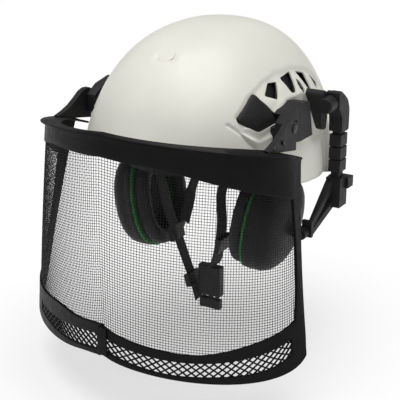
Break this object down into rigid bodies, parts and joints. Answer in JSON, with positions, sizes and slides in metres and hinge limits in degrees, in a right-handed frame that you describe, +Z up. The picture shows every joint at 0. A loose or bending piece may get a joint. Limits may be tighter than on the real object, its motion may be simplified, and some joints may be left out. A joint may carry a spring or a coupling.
{
  "type": "forestry helmet",
  "caption": "Work helmet with a swing-up mesh visor on side arms, sprung ear muffs, vent shutters, an adjustable headband and a buckled chin strap.",
  "frame": {"origin": "centre of the headband's opening, at the middle of its height, where a head holds the helmet", "axes": "+Z up, -Y towards the wearer's front, +X towards the wearer's left"},
  "size_m": [0.295, 0.3197, 0.289],
  "materials": {
    "shell_plastic": "satin, off-white",
    "dark_plastic": "fine moulded grain, charcoal",
    "shutter_plastic": "fine moulded grain",
    "band_plastic": "smooth moulded",
    "webbing": "woven polyester webbing",
    "pad_fabric": "knitted cover over foam",
    "pin_steel": "black coated",
    "screen_mesh": "black woven mesh, 2.4 mm pitch",
    "cup_plastic": "fine moulded grain",
    "ring_green": "satin, dark green",
    "cushion_skin": "soft vinyl skin over foam",
    "cup_foam": "open-cell foam",
    "buckle_plastic": "smooth moulded"
  },
  "bodies": {
    "helmet": {"outer_shell": "shell_plastic", "crown_socket_cover": "shell_plastic", "side_plug_left": "dark_plastic", "side_plug_right": "dark_plastic", "suspension_anchors": "dark_plastic", "crown_webbing": "webbing", "crown_pad": "pad_fabric", "headband": "band_plastic", "brow_pad": "pad_fabric", "hinge_bracket_left": "dark_plastic", "hinge_bracket_right": "dark_plastic", "hinge_pins": "pin_steel", "muff_mount_left": "dark_plastic", "muff_mount_right": "dark_plastic", "front_strap_left": "webbing", "front_strap_right": "webbing", "rear_strap_left": "webbing", "rear_strap_right": "webbing", "strap_dividers": "buckle_plastic", "chin_adjuster": "buckle_plastic", "buckle_socket": "buckle_plastic"},
    "visor": {"visor_arm_left": "dark_plastic", "visor_arm_right": "dark_plastic", "brow_band": "dark_plastic", "band_rivets": "pin_steel", "mesh_screen": "screen_mesh", "side_frame_left": "dark_plastic", "side_frame_right": "dark_plastic", "upper_rail": "dark_plastic", "grille_strip": "dark_plastic", "lower_rail": "dark_plastic", "pull_tab": "dark_plastic"},
    "nape": {"nape_cradle": "band_plastic"},
    "tongue": {"buckle_tongue": "buckle_plastic"},
    "shutter_left": {"vent_shutter_left": "shutter_plastic", "vent_knob_left": "shutter_plastic"},
    "wheel_left": {"size_wheel_left": "band_plastic"},
    "sleeve_left": {"muff_sleeve_left": "dark_plastic"},
    "bar_left": {"muff_slide_bar_left": "dark_plastic", "muff_yoke_left": "dark_plastic"},
    "lever_left": {"muff_lever_left": "dark_plastic"},
    "cup_left": {"ear_cup_left": "cup_plastic", "cup_ring_left": "ring_green", "ear_cushion_left": "cushion_skin", "cup_foam_left": "cup_foam"},
    "shutter_right": {"vent_shutter_right": "shutter_plastic", "vent_knob_right": "shutter_plastic"},
    "wheel_right": {"size_wheel_right": "band_plastic"},
    "sleeve_right": {"muff_sleeve_right": "dark_plastic"},
    "bar_right": {"muff_slide_bar_right": "dark_plastic", "muff_yoke_right": "dark_plastic"},
    "lever_right": {"muff_lever_right": "dark_plastic"},
    "cup_right": {"ear_cup_right": "cup_plastic", "cup_ring_right": "ring_green", "ear_cushion_right": "cushion_skin", "cup_foam_right": "cup_foam"}
  },
  "joints": [
    {"name": "visor_tilt", "type": "hinge", "parent": "helmet", "child": "visor", "pos_m": [0, -0.048, 0.031], "axis": [-1, 0, 0], "range_deg": [0, 100]},
    {"name": "headband_size", "type": "slide", "parent": "helmet", "child": "nape", "axis": [0, -1, 0], "range_m": [0, 0.01]},
    {"name": "buckle_release", "type": "slide", "parent": "helmet", "child": "tongue", "axis": [0, 0, -1], "range_m": [0, 0.022]},
    {"name": "vent_slide_left", "type": "slide", "parent": "helmet", "child": "shutter_left", "axis": [-0.4872, 0, 0.8733], "range_m": [0, 0.0055]},
    {"name": "size_wheel_turn_left", "type": "hinge", "parent": "nape", "child": "wheel_left", "pos_m": [0.08, 0.058, -0.02], "axis": [1, 0, 0], "range_deg": [0, 305]},
    {"name": "muff_swing_left", "type": "hinge", "parent": "helmet", "child": "sleeve_left", "pos_m": [0.112, 0.03, 0.038], "axis": [0, -1, 0], "range_deg": [0, 35], "stiffness_Nm_per_rad": 0.5, "springref_deg": -28.65},
    {"name": "muff_height_left", "type": "slide", "parent": "sleeve_left", "child": "bar_left", "axis": [0, 0, -1], "range_m": [0, 0.015]},
    {"name": "muff_lever_left", "type": "hinge", "parent": "bar_left", "child": "lever_left", "pos_m": [0.1135, 0.054, -0.043], "axis": [1, 0, 0], "range_deg": [0, 45]},
    {"name": "cup_tilt_left", "type": "hinge", "parent": "bar_left", "child": "cup_left", "pos_m": [0.103, -0.008, -0.081], "axis": [0, -1, 0], "range_deg": [-2, 15]},
    {"name": "vent_slide_right", "type": "slide", "parent": "helmet", "child": "shutter_right", "axis": [0.4872, 0, 0.8733], "range_m": [0, 0.0055]},
    {"name": "size_wheel_turn_right", "type": "hinge", "parent": "nape", "child": "wheel_right", "pos_m": [-0.08, 0.058, -0.02], "axis": [1, 0, 0], "range_deg": [0, 305]},
    {"name": "muff_swing_right", "type": "hinge", "parent": "helmet", "child": "sleeve_right", "pos_m": [-0.112, 0.03, 0.038], "axis": [0, 1, 0], "range_deg": [0, 35], "stiffness_Nm_per_rad": 0.5, "springref_deg": -28.65},
    {"name": "muff_height_right", "type": "slide", "parent": "sleeve_right", "child": "bar_right", "axis": [0, 0, -1], "range_m": [0, 0.015]},
    {"name": "muff_lever_right", "type": "hinge", "parent": "bar_right", "child": "lever_right", "pos_m": [-0.1135, 0.054, -0.043], "axis": [1, 0, 0], "range_deg": [0, 45]},
    {"name": "cup_tilt_right", "type": "hinge", "parent": "bar_right", "child": "cup_right", "pos_m": [-0.103, -0.008, -0.081], "axis": [0, 1, 0], "range_deg": [-2, 15]}
  ],
  "couplings": [
    {"joint": "size_wheel_turn_left", "follows": "headband_size", "rad_per_m": 523.6},
    {"joint": "size_wheel_turn_right", "follows": "headband_size", "rad_per_m": 523.6}
  ]
}
